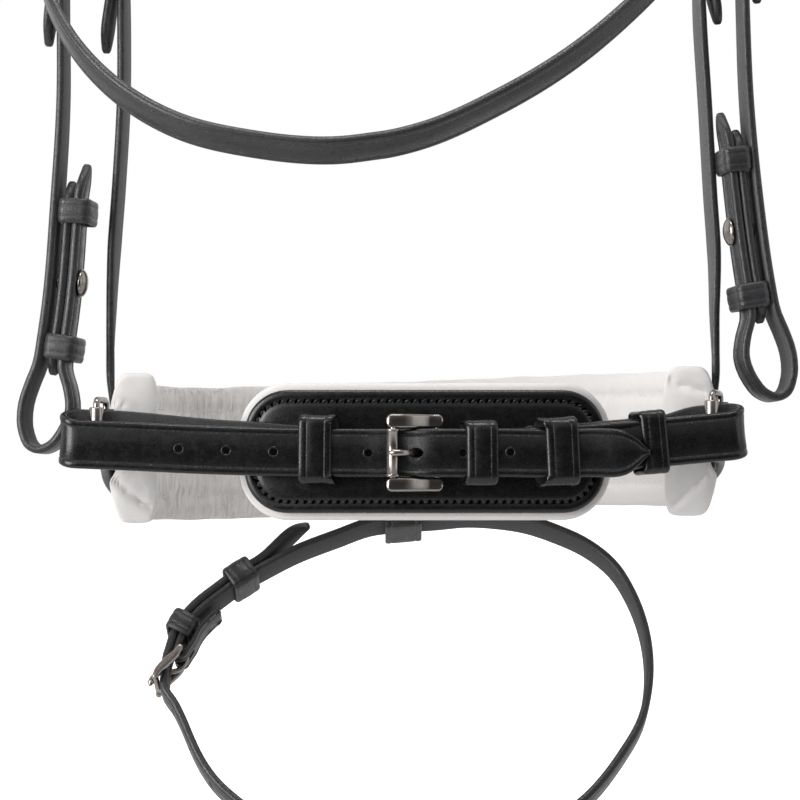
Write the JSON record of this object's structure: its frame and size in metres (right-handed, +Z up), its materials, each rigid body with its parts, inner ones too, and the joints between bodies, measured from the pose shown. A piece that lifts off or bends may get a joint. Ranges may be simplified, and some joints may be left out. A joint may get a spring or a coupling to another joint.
{
  "type": "crank noseband bridle",
  "caption": "Black leather bridle with a padded crank noseband: doubled roller-buckle strap over a jaw pad, flash strap, throatlash, browband and hook-stud cheekpieces.",
  "frame": {"origin": "the underside of the noseband's head strap at the top of the crown, level with the cheekpieces, where a peg holds the hanging bridle", "axes": "+X across to the horse's side that carries the long crank end, +Y from the jaw piece to the front of the nose, +Z up"},
  "size_m": [0.333, 0.2304, 0.6345],
  "materials": {
    "black_leather": "dyed and waxed bridle leather, satin",
    "white_leather": "soft white padded lining leather, matte with fine wrinkles",
    "polished_steel": "polished stainless steel fittings"
  },
  "bodies": {
    "bridle": {"headpiece": "black_leather", "browband": "black_leather", "noseband_headstrap": "black_leather", "cheekpiece_left": "black_leather", "cheekpiece_right": "black_leather", "stud_strip_left": "black_leather", "stud_strip_right": "black_leather", "hook_stud_left": "polished_steel", "hook_stud_right": "polished_steel", "cheek_upper_keeper_left": "black_leather", "cheek_upper_keeper_right": "black_leather", "cheek_lower_keeper_left": "black_leather", "cheek_lower_keeper_right": "black_leather", "cheek_buckle_left": "polished_steel", "cheek_buckle_right": "polished_steel", "hanger_left": "black_leather", "hanger_right": "black_leather", "hanger_buckle_left": "polished_steel", "hanger_buckle_right": "polished_steel", "throatlash": "black_leather", "throat_buckle_left": "polished_steel", "throat_buckle_right": "polished_steel", "noseband_leather": "black_leather", "noseband_lining": "white_leather", "end_ring_left": "polished_steel", "end_ring_right": "polished_steel", "jaw_pad_leather": "black_leather", "jaw_pad_lining": "white_leather", "crank_strap_left": "black_leather", "crank_strap_right": "black_leather", "crank_buckle_frame": "polished_steel", "pad_keeper_left": "black_leather", "pad_keeper_right": "black_leather", "flash_loop": "black_leather"},
    "cheek_tongue_left": {"cheek_tongue_left": "polished_steel"},
    "cheek_billet_keeper_left": {"cheek_billet_keeper_left": "black_leather"},
    "hanger_tongue_left": {"hanger_tongue_left": "polished_steel"},
    "hanger_keeper_left": {"hanger_keeper_left": "black_leather"},
    "throat_tongue_left": {"throat_tongue_left": "polished_steel"},
    "throat_keeper_left": {"throat_keeper_left": "black_leather"},
    "ring_roller_left": {"ring_roller_left": "polished_steel"},
    "cheek_tongue_right": {"cheek_tongue_right": "polished_steel"},
    "cheek_billet_keeper_right": {"cheek_billet_keeper_right": "black_leather"},
    "hanger_tongue_right": {"hanger_tongue_right": "polished_steel"},
    "hanger_keeper_right": {"hanger_keeper_right": "black_leather"},
    "throat_tongue_right": {"throat_tongue_right": "polished_steel"},
    "throat_keeper_right": {"throat_keeper_right": "black_leather"},
    "ring_roller_right": {"ring_roller_right": "polished_steel"},
    "crank_tongue": {"crank_buckle_tongue": "polished_steel"},
    "crank_roller": {"crank_buckle_roller": "polished_steel"},
    "crank_runner_inner": {"crank_runner_inner": "black_leather"},
    "crank_runner_outer": {"crank_runner_outer": "black_leather"},
    "flash": {"flash_strap": "black_leather", "flash_buckle_frame": "polished_steel", "flash_fixed_keeper": "black_leather"},
    "flash_tongue": {"flash_buckle_tongue": "polished_steel"},
    "flash_runner": {"flash_runner": "black_leather"}
  },
  "joints": [
    {"name": "cheek_tongue_left_turn", "type": "hinge", "parent": "bridle", "child": "cheek_tongue_left", "pos_m": [-0.14053, -0.00004, -0.20303], "axis": [0.0236, 0.9997, -0.0004], "range_deg": [-15, 0]},
    {"name": "cheek_billet_keeper_left_slide", "type": "slide", "parent": "bridle", "child": "cheek_billet_keeper_left", "axis": [-0.0017, 0, -1], "range_m": [-0.003, 0.004]},
    {"name": "hanger_tongue_left_turn", "type": "hinge", "parent": "bridle", "child": "hanger_tongue_left", "pos_m": [-0.11702, 0.012, -0.19797], "axis": [0, 1, 0], "range_deg": [-15, 0]},
    {"name": "hanger_keeper_left_slide", "type": "slide", "parent": "bridle", "child": "hanger_keeper_left", "axis": [0.0128, 0, -0.9999], "range_m": [-0.003, 0.006]},
    {"name": "throat_tongue_left_turn", "type": "hinge", "parent": "bridle", "child": "throat_tongue_left", "pos_m": [-0.15232, -0.03738, -0.20888], "axis": [0, 0.8829, -0.4695], "range_deg": [-15, 0]},
    {"name": "throat_keeper_left_slide", "type": "slide", "parent": "bridle", "child": "throat_keeper_left", "axis": [0.2166, -0.4583, -0.862], "range_m": [-0.003, 0.0045]},
    {"name": "ring_roller_left_turn", "type": "hinge", "parent": "bridle", "child": "ring_roller_left", "pos_m": [-0.125, -0.02995, -0.43492], "axis": [0, 0, 1], "continuous": true},
    {"name": "cheek_tongue_right_turn", "type": "hinge", "parent": "bridle", "child": "cheek_tongue_right", "pos_m": [0.14189, -0.00006, -0.20308], "axis": [-0.0361, 0.9993, -0.0017], "range_deg": [0, 15]},
    {"name": "cheek_billet_keeper_right_slide", "type": "slide", "parent": "bridle", "child": "cheek_billet_keeper_right", "axis": [0.0219, 0, -0.9998], "range_m": [-0.003, 0.003]},
    {"name": "hanger_tongue_right_turn", "type": "hinge", "parent": "bridle", "child": "hanger_tongue_right", "pos_m": [0.12549, 0.012, -0.19802], "axis": [0, 1, 0], "range_deg": [0, 15]},
    {"name": "hanger_keeper_right_slide", "type": "slide", "parent": "bridle", "child": "hanger_keeper_right", "axis": [0.0091, 0, -1], "range_m": [-0.003, 0.0025]},
    {"name": "throat_tongue_right_turn", "type": "hinge", "parent": "bridle", "child": "throat_tongue_right", "pos_m": [0.13414, -0.03573, -0.20578], "axis": [0, 0.8829, -0.4695], "range_deg": [0, 15]},
    {"name": "throat_keeper_right_slide", "type": "slide", "parent": "bridle", "child": "throat_keeper_right", "axis": [-0.5014, -0.4062, -0.764], "range_m": [-0.003, 0.0035]},
    {"name": "ring_roller_right_turn", "type": "hinge", "parent": "bridle", "child": "ring_roller_right", "pos_m": [0.1284, -0.02995, -0.43196], "axis": [0, 0, 1], "continuous": true},
    {"name": "crank_tongue_turn", "type": "hinge", "parent": "bridle", "child": "crank_tongue", "pos_m": [0.0152, -0.0334, -0.4412], "axis": [0.0012, 0, 1], "range_deg": [0, 16]},
    {"name": "crank_roller_turn", "type": "hinge", "parent": "bridle", "child": "crank_roller", "pos_m": [-0.0029, -0.04125, -0.44118], "axis": [0.0012, 0, 1], "continuous": true},
    {"name": "crank_runner_inner_slide", "type": "slide", "parent": "bridle", "child": "crank_runner_inner", "axis": [1, 0, 0.009], "range_m": [-0.003, 0.012]},
    {"name": "crank_runner_outer_slide", "type": "slide", "parent": "bridle", "child": "crank_runner_outer", "axis": [0.9961, 0, 0.0884], "range_m": [-0.01, 0.002]},
    {"name": "flash_swing", "type": "hinge", "parent": "bridle", "child": "flash", "pos_m": [0.0016, 0.11274, -0.47297], "axis": [1, 0, 0], "range_deg": [-5, 5]},
    {"name": "flash_tongue_turn", "type": "hinge", "parent": "flash", "child": "flash_tongue", "pos_m": [-0.09907, 0.08211, -0.53309], "axis": [0, 0.891, -0.454], "range_deg": [0, 18]},
    {"name": "flash_runner_slide", "type": "slide", "parent": "flash", "child": "flash_runner", "axis": [0.8167, 0.262, 0.5141], "range_m": [-0.004, 0.004]}
  ]
}
